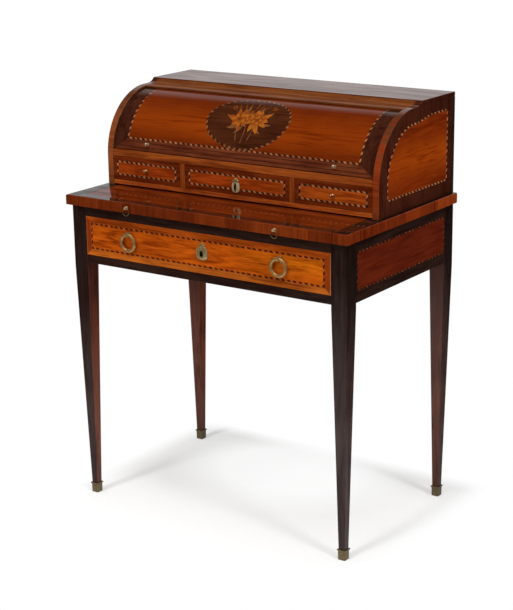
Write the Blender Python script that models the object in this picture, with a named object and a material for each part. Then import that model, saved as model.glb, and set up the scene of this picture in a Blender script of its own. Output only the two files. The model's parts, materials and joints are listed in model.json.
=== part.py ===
"""A lady's writing desk with a cylinder fall.

A case with a coved cornice, a cylinder fall and three small drawers stands on a table with a frieze drawer,
a pull-out writing slide flush in its top, and square tapered legs in brass shoes.

Metres, +Z up, the front towards -Y, +X to the sitter's right. The origin is on the floor under the middle of
the table top.
"""

import math

import bmesh
import bpy
from mathutils import Matrix, Vector

# Clearances: between pieces that are glued or screwed together, and between pieces that slide.
JOINT_GAP = 0.0003
RUN_GAP = 0.0006

# Table top: two fixed end strips, a fixed back rail and the writing slide between them.
TOP_WIDTH = 0.770
TOP_DEPTH = 0.482
TOP_HEIGHT = 0.750
TOP_THICKNESS = 0.0235
TOP_END_WIDTH = 0.038
OVERHANG_FRONT = 0.012
OVERHANG_SIDE = 0.009
OVERHANG_BACK = 0.0015

# Writing slide. Its tongues run in grooves that stop short of the front, which limits the travel.
SLIDE_DEPTH = 0.400
SLIDE_TRAVEL = 0.220
TONGUE_REACH = 0.007
TONGUE_THICKNESS = 0.008
GROOVE_STOP = 0.025

# Legs, whose upper ends are the stiles of the frieze, and the shoes on their feet.
LEG_WIDTH = 0.039
LEG_FOOT_WIDTH = 0.0155
LEG_SHOULDER = 0.012
SABOT_HEIGHT = 0.025
SABOT_WALL = 0.0008
SABOT_FLOOR = 0.003
COLLAR_HEIGHT = 0.003
COLLAR_REACH = 0.0017

# Frieze: rails over and under the drawer, aprons on the other sides, runners and bearers inside.
FRIEZE_HEIGHT = 0.1365
RAIL_UPPER = 0.0235
RAIL_LOWER = 0.0195
RAIL_THICKNESS = 0.022
APRON_THICKNESS = 0.020
RUNNER_REACH = 0.018
GUIDE_HEIGHT = 0.030

# Frieze drawer.
FRIEZE_DRAWER_DEPTH = 0.400
FRIEZE_FRONT = 0.018
FRIEZE_SIDE = 0.012
FRIEZE_BACK = 0.010
FRIEZE_BOTTOM = 0.006
BOTTOM_RISE = 0.008
SIDE_DROP = 0.007
LOCK_WIDTH = 0.052
LOCK_HEIGHT = 0.044
LOCK_DEPTH = 0.011
FRIEZE_KEY_RISE = 0.0010
FRIEZE_RING_RISE = 0.0178
FRIEZE_RING_INSET = 0.1289

# Ring pulls: the ring's middle line, its thickness, and the flat lug with an eye that it hangs in.
RING_RADIUS = 0.0191
RING_THICKNESS = 0.0084
LUG_THICKNESS = 0.0042
LUG_FLANGE_RADIUS = 0.0056
SLIDE_RING_RADIUS = 0.00875
SLIDE_RING_THICKNESS = 0.0018
SLIDE_LUG_THICKNESS = 0.0060
SLIDE_LUG_FLANGE_RADIUS = 0.0046
SLIDE_RING_INSET = 0.1434
LUG_FLANGE = 0.0012
LUG_WALL = 0.0013
EYE_GAP = 0.0004

# Escutcheons: domed plates with a keyhole, and a crest of two loops and a knot, like a tied bow.
ESCUTCHEON_WIDTH = 0.031
ESCUTCHEON_HEIGHT = 0.0315
SMALL_ESCUTCHEON_WIDTH = 0.021
SMALL_ESCUTCHEON_HEIGHT = 0.0250
ESCUTCHEON_THICKNESS = 0.0036
LOOP_RADIUS = 0.0040
SMALL_LOOP_RADIUS = 0.0042
CREST_THICKNESS = 0.0028
KEYHOLE_RADIUS = 0.0034
KEYHOLE_SLOT = 0.0046
KEYHOLE_RISE = 0.0030
KEYHOLE_DROP = 0.0105
SMALL_KEYHOLE_RISE = 0.0060
SMALL_KEYHOLE_DROP = 0.0150
SMALL_KEY_RISE = -0.0100

# Crest of an escutcheon, in shares of a loop's radius: each disc's place from the plate's head, and its size.
CREST_DISCS = ((-1.00, 0.35, 1), (1.00, 0.35, 1), (0, 1.10, 0.95))
CREST_CROWN = 0.75

# Outline of an escutcheon: the power 2 gives an oval, and a higher one a fuller shape.
ESCUTCHEON_FULLNESS = 2.8

# Dome of an escutcheon: the share of its outline at each share of its thickness.
ESCUTCHEON_DOME = ((1, 0), (1, 0.35), (0.86, 0.80), (0.55, 1))

# Case on the table top.
CASE_SETBACK = 0.145
CASE_INSET = 0.010
CASE_BACK_INSET = 0.001
CASE_SIDE = 0.017
CASE_BACK = 0.014
CASE_FLOOR = 0.014
CASE_FLOOR_GAP = 0.0035
CASE_RAIL = 0.016
DIVIDER = 0.014

# Small drawers in the case.
SMALL_DRAWER_HEIGHT = 0.057
MIDDLE_DRAWER_WIDTH = 0.290
SMALL_DRAWER_DEPTH = 0.240
SMALL_FRONT = 0.014
TRAY_WALL = 0.006
TRAY_BOTTOM = 0.005
TRAY_DROP = 0.006

# Knobs of the small drawers and of the cylinder.
KNOB_RADIUS = 0.0046
KNOB_REACH = 0.0110
KNOB_NECK_RADIUS = 0.0024
KNOB_FLANGE_RADIUS = 0.0041
KNOB_FLANGE = 0.0012

# Turning of a knob's head: the share of its radius at each share of its height over the flange.
KNOB_WAIST_SHARE = 0.25
KNOB_HEAD = ((0.85, 0.425), (1, 0.60), (0.80, 0.85), (0.35, 1))

# Cylinder fall, the rim of the case sides round it, and the cornice over it.
RIM_RADIUS = 0.151
SHELL_RECESS = 0.005
SHELL_THICKNESS = 0.014
SHELL_TONGUE = 0.005
SHELL_END = math.radians(96)
FALL_RANGE = math.radians(65)
FALL_KNOB_ANGLE = math.radians(13)
FALL_GAP = 0.0008
LIP_ANGLE = math.radians(81.6)
LEDGE_DEPTH = 0.010
COVE_RADIUS = 0.031
COVE_RISE = 0.0095
CORNICE_LAP = 0.014
ROOF_THICKNESS = 0.010
ROOF_EDGE = 0.0015

# Pigeonholes inside the case.
SHELF_SETBACK = 0.015
SHELF_RISE = 0.043
SHELF_DEPTH = 0.090
SHELF_THICKNESS = 0.008
PARTITION_PITCH = 0.240
PARTITION_THICKNESS = 0.008

# Steps of round shapes.
ARC_STEPS = 24
TURN_STEPS = 20
RING_STEPS = 28
RING_SIDES = 10
OVAL_STEPS = 28
HOLE_STEPS = 14
CUT_PAST = 0.004
WELD_REACH = 0.000001
SHARP_ANGLE = math.radians(40)

# Finishes: colour, roughness and metallic value.
FINISHES = {
    "dark_wood": ((0.045, 0.016, 0.010), 0.25, 0.0),
    "red_wood": ((0.170, 0.045, 0.014), 0.25, 0.0),
    "orange_wood": ((0.330, 0.090, 0.018), 0.25, 0.0),
    "oak": ((0.330, 0.190, 0.085), 0.60, 0.0),
    "brass": ((0.320, 0.230, 0.090), 0.35, 1.0),
    "steel": ((0.300, 0.280, 0.260), 0.45, 1.0),
}

# Places that follow from the sizes: the table.
top_half = TOP_WIDTH / 2
top_front = -TOP_DEPTH / 2
top_back = TOP_DEPTH / 2
top_under = TOP_HEIGHT - TOP_THICKNESS
slide_half = top_half - TOP_END_WIDTH - RUN_GAP
slide_back = top_front + SLIDE_DEPTH
body_half = top_half - OVERHANG_SIDE
body_front = top_front + OVERHANG_FRONT
body_back = top_back - OVERHANG_BACK
frieze_foot = top_under - FRIEZE_HEIGHT
frieze_top = top_under - JOINT_GAP
leg_inner = body_half - LEG_WIDTH
leg_front_rear = body_front + LEG_WIDTH
leg_rear_front = body_back - LEG_WIDTH
apron_inner = body_half - APRON_THICKNESS
drawer_foot = frieze_foot + RAIL_LOWER
drawer_top = top_under - RAIL_UPPER
drawer_half = leg_inner - RUN_GAP
drawer_middle = (drawer_foot + drawer_top) / 2
drawer_rear = body_front + FRIEZE_DRAWER_DEPTH

# Places that follow from the sizes: the case.
case_half = top_half - CASE_INSET
case_inner = case_half - CASE_SIDE
case_front = top_front + CASE_SETBACK
case_back = top_back - CASE_BACK_INSET
case_back_face = case_back - CASE_BACK
case_foot = TOP_HEIGHT + JOINT_GAP
case_floor_top = TOP_HEIGHT + CASE_FLOOR
small_top = case_floor_top + SMALL_DRAWER_HEIGHT
rail_top = small_top + CASE_RAIL
small_middle = (case_floor_top + small_top) / 2
divider_near = MIDDLE_DRAWER_WIDTH / 2
divider_far = divider_near + DIVIDER
outer_drawer_middle = (divider_far + case_inner) / 2
axis_y = case_front + RIM_RADIUS
axis_z = small_top
shell_outer = RIM_RADIUS - SHELL_RECESS
shell_inner = shell_outer - SHELL_THICKNESS
ledge_top = axis_z + RIM_RADIUS
cove_angle = math.acos(1 - COVE_RISE / COVE_RADIUS)
cove_start = axis_y + LEDGE_DEPTH
cornice_back = cove_start + COVE_RADIUS * math.sin(cove_angle)
roof_top = ledge_top + COVE_RISE + ROOF_EDGE
roof_under = roof_top - ROOF_THICKNESS


def wheel_point(radius, angle):
    """A point of the cylinder's section as (y, z), with the angle counted from the front upwards."""
    return axis_y - radius * math.cos(angle), axis_z + radius * math.sin(angle)


def wheel_arc(radius, start, end):
    """Points of an arc about the cylinder's axis, from one angle to another."""
    span = end - start
    return [wheel_point(radius, start + span * i / ARC_STEPS) for i in range(ARC_STEPS + 1)]


def cove_arc():
    """The hollow moulding of the cornice, from the ledge up to the roof."""
    points = []
    for i in range(ARC_STEPS // 2 + 1):
        angle = cove_angle * i / (ARC_STEPS // 2)
        rise = COVE_RADIUS * (1 - math.cos(angle))
        points.append((cove_start + COVE_RADIUS * math.sin(angle), ledge_top + rise))
    return points


def block(size):
    """A box about its own middle."""
    shape = bmesh.new()
    bmesh.ops.create_cube(shape, size=1, matrix=Matrix.Diagonal((*size, 1)))
    return shape


def extruded(outline, push):
    """A prism: an outline of points, closed and pushed along a vector."""
    shape = bmesh.new()
    face = shape.faces.new([shape.verts.new(point) for point in outline])
    moved = bmesh.ops.extrude_face_region(shape, geom=[face])["geom"]
    corners = [item for item in moved if isinstance(item, bmesh.types.BMVert)]
    bmesh.ops.translate(shape, verts=corners, vec=push)
    return shape


def section(outline, start, end):
    """A length of moulding: an outline of (y, z) points that runs along X from start to end."""
    return extruded([(start, y, z) for y, z in outline], (end - start, 0, 0))


def lofted(rings):
    """A body through rings of points, closed at the first and the last."""
    shape = bmesh.new()
    rows = [[shape.verts.new(point) for point in ring] for ring in rings]
    count = len(rows[0])
    for lower, upper in zip(rows, rows[1:]):
        for i in range(count):
            j = (i + 1) % count
            shape.faces.new((lower[i], lower[j], upper[j], upper[i]))
    shape.faces.new(rows[0])
    shape.faces.new(rows[-1])
    return shape


def square(half, height):
    """The corners of a level square about the Z axis."""
    return [(-half, -half, height), (half, -half, height), (half, half, height), (-half, half, height)]


def turned(profile):
    """A turned body about Z from (radius, height) points that start and end on the axis."""
    shape = bmesh.new()
    points = [shape.verts.new((radius, 0, height)) for radius, height in profile]
    edges = [shape.edges.new(pair) for pair in zip(points, points[1:])]
    bmesh.ops.spin(
        shape, geom=points + edges, cent=(0, 0, 0), axis=(0, 0, 1), angle=math.tau, steps=TURN_STEPS
    )
    bmesh.ops.remove_doubles(shape, verts=shape.verts, dist=WELD_REACH)
    return shape


def hoop(radius, thickness):
    """A ring that hangs from the origin in the XZ plane."""
    shape = bmesh.new()
    turn = Matrix.Rotation(math.pi / 2, 4, "Y")
    bmesh.ops.create_circle(shape, segments=RING_SIDES, radius=thickness / 2, matrix=turn)
    bmesh.ops.spin(
        shape, geom=shape.verts[:] + shape.edges[:], cent=(0, 0, -radius), axis=(0, 1, 0),
        angle=math.tau, steps=RING_STEPS,
    )
    bmesh.ops.remove_doubles(shape, verts=shape.verts, dist=WELD_REACH)
    return shape


def rod(radius, length):
    """A round bar along X about its own middle."""
    shape = bmesh.new()
    turn = Matrix.Rotation(math.pi / 2, 4, "Y")
    bmesh.ops.create_cone(
        shape, cap_ends=True, segments=HOLE_STEPS, radius1=radius, radius2=radius, depth=length, matrix=turn
    )
    return shape


def holder(name, place):
    """An empty that carries the pieces of one body."""
    empty = bpy.data.objects.new(name, None)
    empty.location = place
    bpy.context.scene.collection.objects.link(empty)
    return empty


def paint(part, finish):
    """Gives a part a material of its own."""
    colour, roughness, metallic = FINISHES[finish]
    material = bpy.data.materials.new(part.name + "_" + finish)
    material.use_nodes = True
    surface = material.node_tree.nodes["Principled BSDF"]
    surface.inputs["Base Color"].default_value = (*colour, 1)
    surface.inputs["Roughness"].default_value = roughness
    surface.inputs["Metallic"].default_value = metallic
    material.diffuse_color = (*colour, 1)
    part.data.materials.append(material)


def piece(name, shape, place, finish, body, turn=(0, 0, 0), smooth=False):
    """Makes a named part from a shape drawn about its own origin, put at a place in the desk's frame."""
    bmesh.ops.recalc_face_normals(shape, faces=shape.faces)
    mesh = bpy.data.meshes.new(name)
    shape.to_mesh(mesh)
    shape.free()
    if smooth:
        mesh.shade_smooth()
        mesh.set_sharp_from_angle(angle=SHARP_ANGLE)
    part = bpy.data.objects.new(name, mesh)
    part.parent = body
    part.location = Vector(place) - body.location
    part.rotation_euler = turn
    bpy.context.scene.collection.objects.link(part)
    if finish:
        paint(part, finish)
    return part


def board(name, low, high, finish, body):
    """A rectangular board between two corners."""
    low, high = Vector(low), Vector(high)
    return piece(name, block(high - low), (low + high) / 2, finish, body)


def alter(part, tool, operation="DIFFERENCE"):
    """Cuts a helper shape out of a part, or joins it on."""
    tool.hide_render = True
    tool.display_type = "WIRE"
    change = part.modifiers.new(tool.name, "BOOLEAN")
    change.operation = operation
    change.object = tool


for old in list(bpy.data.objects):
    bpy.data.objects.remove(old)

carcase = holder("carcase", (0, 0, 0))
slide_body = holder("writing_slide_run", (0, top_front, top_under))
frieze_body = holder("frieze_drawer_run", (0, body_front, drawer_foot))
cylinder_body = holder("cylinder_axis", (0, axis_y, axis_z))
small_names = ("left", "middle", "right")
small_bodies = {side: holder(f"drawer_{side}_run", (0, case_front, case_floor_top)) for side in small_names}
for run in (slide_body, frieze_body, cylinder_body, *small_bodies.values()):
    run.parent = carcase


def legs_and_shoes():
    """Square legs: straight beside the frieze, then tapered into brass shoes with a collar."""
    shoulder = frieze_foot - LEG_SHOULDER
    foot = SABOT_FLOOR + JOINT_GAP
    slope = (LEG_WIDTH - LEG_FOOT_WIDTH) / 2 / (shoulder - foot)
    collar_foot = SABOT_HEIGHT - COLLAR_HEIGHT

    def leg_half(height):
        return LEG_FOOT_WIDTH / 2 + slope * (height - foot)

    def shoe(height, extra):
        return square(leg_half(height) + JOINT_GAP + extra, height)

    leg = [square(leg_half(foot), foot), square(LEG_WIDTH / 2, shoulder), square(LEG_WIDTH / 2, frieze_top)]
    sabot = [
        shoe(0, SABOT_WALL),
        shoe(collar_foot, SABOT_WALL),
        shoe(collar_foot, SABOT_WALL + COLLAR_REACH),
        shoe(SABOT_HEIGHT, SABOT_WALL + COLLAR_REACH),
        shoe(SABOT_HEIGHT, 0),
        shoe(SABOT_FLOOR, 0),
    ]
    across = body_half - LEG_WIDTH / 2
    for end, y in (("front", body_front + LEG_WIDTH / 2), ("back", body_back - LEG_WIDTH / 2)):
        for side, x in (("left", -across), ("right", across)):
            piece(f"leg_{end}_{side}", lofted(leg), (x, y, 0), "dark_wood", carcase)
            piece(f"sabot_{end}_{side}", lofted(sabot), (x, y, 0), "brass", carcase)


def frieze_frame():
    """Rails and aprons between the legs, and the runners and bearers that guide the drawer and the slide."""
    reach = leg_inner - JOINT_GAP
    rail_rear = body_front + RAIL_THICKNESS
    board("frieze_rail_upper", (-reach, body_front, drawer_top), (reach, rail_rear, frieze_top),
          "dark_wood", carcase)
    board("frieze_rail_lower", (-reach, body_front, frieze_foot), (reach, rail_rear, drawer_foot),
          "dark_wood", carcase)
    board("apron_back", (-reach, body_back - APRON_THICKNESS, frieze_foot), (reach, body_back, frieze_top),
          "dark_wood", carcase)
    front, back = leg_front_rear + JOINT_GAP, leg_rear_front - JOINT_GAP
    outer = apron_inner - JOINT_GAP
    inner = leg_inner - RUNNER_REACH
    guide_top = drawer_foot + GUIDE_HEIGHT
    angle = [(inner, frieze_foot), (outer, frieze_foot), (outer, guide_top), (leg_inner, guide_top),
             (leg_inner, drawer_foot), (inner, drawer_foot)]
    for side, sign in (("left", -1), ("right", 1)):
        low, high = sorted((sign * apron_inner, sign * body_half))
        board(f"apron_{side}", (low, front, frieze_foot), (high, back, frieze_top), "red_wood", carcase)
        outline = [(sign * x, front, z) for x, z in angle]
        piece(f"drawer_runner_{side}", extruded(outline, (0, back - front, 0)), (0, 0, 0), "oak", carcase)
        low, high = sorted((sign * inner, sign * outer))
        board(f"slide_bearer_{side}", (low, front, drawer_top), (high, back, frieze_top), "oak", carcase)


def table_top():
    """End strips with stopped grooves, the back rail, and the writing slide with its tongues and rings."""
    strip_inner = top_half - TOP_END_WIDTH
    middle = (top_under + TOP_HEIGHT) / 2
    groove_front = top_front + GROOVE_STOP
    groove_half = TONGUE_THICKNESS / 2 + RUN_GAP
    for side, sign in (("left", -1), ("right", 1)):
        low, high = sorted((sign * strip_inner, sign * top_half))
        strip = board(f"top_end_{side}", (low, top_front, top_under), (high, top_back, TOP_HEIGHT),
                      "dark_wood", carcase)
        low, high = sorted((sign * (strip_inner - CUT_PAST), sign * (strip_inner + TONGUE_REACH)))
        groove = board(f"slide_groove_{side}", (low, groove_front, middle - groove_half),
                       (high, slide_back + RUN_GAP, middle + groove_half), None, carcase)
        alter(strip, groove)
    fixed_half = strip_inner - JOINT_GAP
    board("top_back_rail", (-fixed_half, slide_back + RUN_GAP, top_under), (fixed_half, top_back, TOP_HEIGHT),
          "red_wood", carcase)
    slide = board("writing_slide", (-slide_half, top_front, top_under), (slide_half, slide_back, TOP_HEIGHT),
                  "red_wood", slide_body)
    tongue_half = slide_half + TONGUE_REACH
    tongue_front = groove_front + SLIDE_TRAVEL + RUN_GAP
    tongue = board("slide_tongue", (-tongue_half, tongue_front, middle - TONGUE_THICKNESS / 2),
                   (tongue_half, slide_back - JOINT_GAP, middle + TONGUE_THICKNESS / 2), None, slide_body)
    alter(slide, tongue, "UNION")
    for side, sign in (("left", -1), ("right", 1)):
        place = (sign * (slide_half - SLIDE_RING_INSET), top_front, middle)
        ring_pull(f"slide_ring_{side}", place, slide_body,
                  (SLIDE_RING_RADIUS, SLIDE_RING_THICKNESS, SLIDE_LUG_THICKNESS, SLIDE_LUG_FLANGE_RADIUS))


def ring_pull(name, place, body, sizes):
    """A ring in the eye of a flat lug that stands on a front face. The ring's origin is on its pivot."""
    radius, thickness, lug_thickness, flange_radius = sizes
    sag = radius - math.sqrt(radius ** 2 - (lug_thickness / 2) ** 2)
    eye = (thickness / 2 + EYE_GAP + sag) / math.cos(math.pi / HOLE_STEPS)
    x, face, z = place
    seat = face - JOINT_GAP
    eye_y = seat - LUG_FLANGE - JOINT_GAP - eye
    profile = [(0, 0), (flange_radius, 0), (flange_radius, LUG_FLANGE / 2),
               (flange_radius - LUG_FLANGE / 2, LUG_FLANGE), (0, LUG_FLANGE)]
    post = piece(name.replace("ring", "ring_post"), turned(profile), (x, seat, z), "brass", body,
                 (math.pi / 2, 0, 0), True)
    lug = piece(name + "_lug", rod(eye + LUG_WALL, lug_thickness), (x, eye_y, z), None, body)
    alter(post, lug, "UNION")
    hole = piece(name + "_eye", rod(eye, lug_thickness + 2 * CUT_PAST), (x, eye_y, z), None, body)
    alter(post, hole)
    pivot = (x, eye_y, z - EYE_GAP + JOINT_GAP)
    piece(name, hoop(radius, thickness), pivot, "brass", body, (0, 0, 0), True)


def keyhole(name, place, drop, body):
    """A cutter for a keyhole: a round hole with a slot that drops below it, along Y through the place."""
    depth = 2 * (FRIEZE_FRONT + CUT_PAST)
    half = KEYHOLE_SLOT / 2
    start = math.asin(half / KEYHOLE_RADIUS)
    span = math.tau - 2 * start
    outline = []
    for i in range(HOLE_STEPS + 1):
        angle = start + span * i / HOLE_STEPS
        outline.append((KEYHOLE_RADIUS * math.sin(angle), -depth / 2, -KEYHOLE_RADIUS * math.cos(angle)))
    outline += [(-half, -depth / 2, -drop), (half, -depth / 2, -drop)]
    return piece(name, extruded(outline, (0, depth, 0)), place, None, body)


def escutcheon(name, front, place, sizes, body):
    """A domed plate with a crest on a drawer front, and a keyhole that goes on through the front."""
    width, height, loop, key_rise, key_drop = sizes
    x, face, z = place
    seat = face - JOINT_GAP
    rings = []
    for scale, out in ESCUTCHEON_DOME:
        ring = []
        for i in range(OVAL_STEPS):
            angle = math.tau * i / OVAL_STEPS
            across, up = (math.copysign(abs(part) ** (2 / ESCUTCHEON_FULLNESS), part)
                          for part in (math.cos(angle), math.sin(angle)))
            ring.append((scale * width / 2 * across, -out * ESCUTCHEON_THICKNESS, scale * height / 2 * up))
        rings.append(ring)
    plate = piece(name, lofted(rings), (x, seat, z), "brass", body, (0, 0, 0), True)
    for i, (across, up, size) in enumerate(CREST_DISCS):
        radius = size * loop
        profile = [(0, 0), (radius, 0), (radius, CREST_THICKNESS / 2),
                   (CREST_CROWN * radius, CREST_THICKNESS), (0, CREST_THICKNESS)]
        disc = piece(f"{name}_crest_{i}", turned(profile),
                     (x + across * loop, seat - JOINT_GAP, z + height / 2 + up * loop), None, body,
                     (math.pi / 2, 0, 0))
        alter(plate, disc, "UNION")
    hole = keyhole(name + "_keyhole", (x, face, z + key_rise), key_drop, body)
    alter(plate, hole)
    alter(front, hole)


def frieze_drawer():
    """The wide drawer: front, sides, back and bottom, with its lock, escutcheon and ring pulls."""
    low, high = drawer_foot + RUN_GAP, drawer_top - RUN_GAP
    inner_face = body_front + FRIEZE_FRONT
    front = board("frieze_drawer_front", (-drawer_half, body_front, low), (drawer_half, inner_face, high),
                  "orange_wood", frieze_body)
    side_inner = drawer_half - FRIEZE_SIDE
    side_top = high - SIDE_DROP
    start = inner_face + JOINT_GAP
    for side, sign in (("left", -1), ("right", 1)):
        near, far = sorted((sign * side_inner, sign * drawer_half))
        board(f"frieze_drawer_side_{side}", (near, start, low), (far, drawer_rear, side_top),
              "oak", frieze_body)
    between = side_inner - JOINT_GAP
    bottom_top = low + BOTTOM_RISE + FRIEZE_BOTTOM
    board("frieze_drawer_bottom", (-between, start, low + BOTTOM_RISE), (between, drawer_rear, bottom_top),
          "oak", frieze_body)
    board("frieze_drawer_back", (-between, drawer_rear - FRIEZE_BACK, bottom_top + JOINT_GAP),
          (between, drawer_rear, side_top - SIDE_DROP), "oak", frieze_body)
    key = (0, body_front, drawer_middle + FRIEZE_KEY_RISE)
    board("frieze_lock", (-LOCK_WIDTH / 2, start, key[2] - LOCK_HEIGHT / 2),
          (LOCK_WIDTH / 2, start + LOCK_DEPTH, key[2] + LOCK_HEIGHT / 2), "steel", frieze_body)
    escutcheon("frieze_escutcheon", front, key,
               (ESCUTCHEON_WIDTH, ESCUTCHEON_HEIGHT, LOOP_RADIUS, KEYHOLE_RISE, KEYHOLE_DROP), frieze_body)
    for side, sign in (("left", -1), ("right", 1)):
        place = (sign * (drawer_half - FRIEZE_RING_INSET), body_front, drawer_middle + FRIEZE_RING_RISE)
        ring_pull(f"frieze_ring_{side}", place, frieze_body,
                  (RING_RADIUS, RING_THICKNESS, LUG_THICKNESS, LUG_FLANGE_RADIUS))


def case_shell():
    """Shaped sides with the cylinder's groove, back, roof, cornice, floor, dividers and rail board."""
    top = roof_under - JOINT_GAP
    rear = case_back_face - JOINT_GAP
    profile = [(case_front, case_foot), *wheel_arc(RIM_RADIUS, 0, math.pi / 2), *cove_arc(),
               (cornice_back, top), (rear, top), (rear, case_foot)]
    groove_end = SHELL_END + FALL_RANGE + FALL_GAP / shell_inner
    groove_start = math.asin((rail_top - axis_z) / shell_outer)
    outer, inner = shell_outer + FALL_GAP, shell_inner - FALL_GAP
    ring = wheel_arc(outer, groove_start, groove_end) + wheel_arc(inner, groove_end, groove_start)
    for side, sign in (("left", -1), ("right", 1)):
        board_side = piece(f"case_side_{side}", section(profile, sign * case_inner, sign * case_half),
                           (0, 0, 0), "orange_wood", carcase)
        depth = case_inner + SHELL_TONGUE + FALL_GAP
        groove = piece(f"cylinder_groove_{side}", section(ring, sign * (case_inner - CUT_PAST), sign * depth),
                       (0, 0, 0), None, carcase)
        alter(board_side, groove)
    board("case_back", (-case_half, case_back_face, case_foot), (case_half, case_back, top),
          "dark_wood", carcase)
    board("case_roof", (-case_half, cornice_back + JOINT_GAP, roof_under), (case_half, case_back, roof_top),
          "red_wood", carcase)
    reach = case_inner - JOINT_GAP
    lip_under = shell_outer + FALL_GAP
    cornice = [*wheel_arc(lip_under, math.pi / 2, LIP_ANGLE), *wheel_arc(RIM_RADIUS, LIP_ANGLE, math.pi / 2),
               *cove_arc(), (cornice_back, top), (cornice_back + CORNICE_LAP, top),
               (cornice_back + CORNICE_LAP, axis_z + lip_under)]
    piece("cornice_moulding", section(cornice, -reach, reach), (0, 0, 0), "red_wood", carcase)
    board("case_floor", (-reach, case_front, TOP_HEIGHT + CASE_FLOOR_GAP), (reach, rear, case_floor_top),
          "red_wood", carcase)
    board("case_rail_board", (-reach, case_front, small_top), (reach, rear, rail_top), "red_wood", carcase)
    for side, sign in (("left", -1), ("right", 1)):
        low, high = sorted((sign * divider_near, sign * divider_far))
        board(f"drawer_divider_{side}", (low, case_front, case_floor_top + JOINT_GAP),
              (high, rear, small_top - JOINT_GAP), "red_wood", carcase)


def knob(name, place, tilt, body):
    """A turned knob on a flange. The tilt lifts its axis from level."""
    head = KNOB_REACH - KNOB_FLANGE
    profile = [(0, 0), (KNOB_FLANGE_RADIUS, 0), (KNOB_FLANGE_RADIUS, KNOB_FLANGE),
               (KNOB_NECK_RADIUS, KNOB_FLANGE + KNOB_WAIST_SHARE * head)]
    profile += [(KNOB_RADIUS * across, KNOB_FLANGE + up * head) for across, up in KNOB_HEAD]
    profile.append((0, KNOB_REACH))
    piece(name, turned(profile), place, "brass", body, (math.pi / 2 - tilt, 0, 0), True)


def small_drawers():
    """Three drawers under the cylinder: knobs on the outer two, an escutcheon on the middle one."""
    spans = {"left": (-case_inner, -divider_far), "middle": (-divider_near, divider_near),
             "right": (divider_far, case_inner)}
    low, high = case_floor_top + RUN_GAP, small_top - RUN_GAP
    inner_face = case_front + SMALL_FRONT
    start = inner_face + JOINT_GAP
    rear = case_front + SMALL_DRAWER_DEPTH
    tray_top = high - TRAY_DROP
    for side, (left, right) in spans.items():
        body = small_bodies[side]
        left, right = left + RUN_GAP, right - RUN_GAP
        front = board(f"drawer_{side}_front", (left, case_front, low), (right, inner_face, high),
                      "orange_wood", body)
        tray = board(f"drawer_{side}_tray", (left, start, low), (right, rear, tray_top), "oak", body)
        hollow = board(f"drawer_{side}_hollow", (left + TRAY_WALL, start - CUT_PAST, low + TRAY_BOTTOM),
                       (right - TRAY_WALL, rear - TRAY_WALL, tray_top + CUT_PAST), None, body)
        alter(tray, hollow)
        if side == "middle":
            sizes = (SMALL_ESCUTCHEON_WIDTH, SMALL_ESCUTCHEON_HEIGHT, SMALL_LOOP_RADIUS, SMALL_KEYHOLE_RISE,
                     SMALL_KEYHOLE_DROP)
            place = (0, case_front, small_middle + SMALL_KEY_RISE)
            escutcheon("drawer_middle_escutcheon", front, place, sizes, body)
        else:
            knob(f"drawer_{side}_knob", ((left + right) / 2, case_front - JOINT_GAP, small_middle), 0, body)


def cylinder_fall():
    """The curved fall: its ends ride in the grooves of the sides, and its foot closes on the rail board."""
    foot = rail_top + RUN_GAP - axis_z
    outer = wheel_arc(shell_outer, math.asin(foot / shell_outer), SHELL_END)
    inner = wheel_arc(shell_inner, SHELL_END, math.asin(foot / shell_inner))
    outline = [(y - axis_y, z - axis_z) for y, z in outer + inner]
    reach = case_inner + SHELL_TONGUE
    piece("cylinder_fall", section(outline, -reach, reach), (0, axis_y, axis_z), "orange_wood",
          cylinder_body)
    y, z = wheel_point(shell_outer + JOINT_GAP, FALL_KNOB_ANGLE)
    for side, sign in (("left", -1), ("right", 1)):
        knob(f"cylinder_knob_{side}", (sign * outer_drawer_middle, y, z), FALL_KNOB_ANGLE, cylinder_body)


def pigeonholes():
    """A shelf across the inside of the case on two partitions."""
    reach = case_inner - JOINT_GAP
    front = axis_y + SHELF_SETBACK
    back = front + SHELF_DEPTH
    shelf_under = rail_top + SHELF_RISE
    board("pigeonhole_shelf", (-reach, front, shelf_under), (reach, back, shelf_under + SHELF_THICKNESS),
          "red_wood", carcase)
    for side, sign in (("left", -1), ("right", 1)):
        middle = sign * PARTITION_PITCH / 2
        board(f"pigeonhole_partition_{side}", (middle - PARTITION_THICKNESS / 2, front, rail_top + JOINT_GAP),
              (middle + PARTITION_THICKNESS / 2, back, shelf_under - JOINT_GAP), "red_wood", carcase)


legs_and_shoes()
frieze_frame()
table_top()
frieze_drawer()
case_shell()
small_drawers()
cylinder_fall()
pigeonholes()
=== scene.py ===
import json
import math
import random

import bpy
from mathutils import Matrix, Vector

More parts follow.
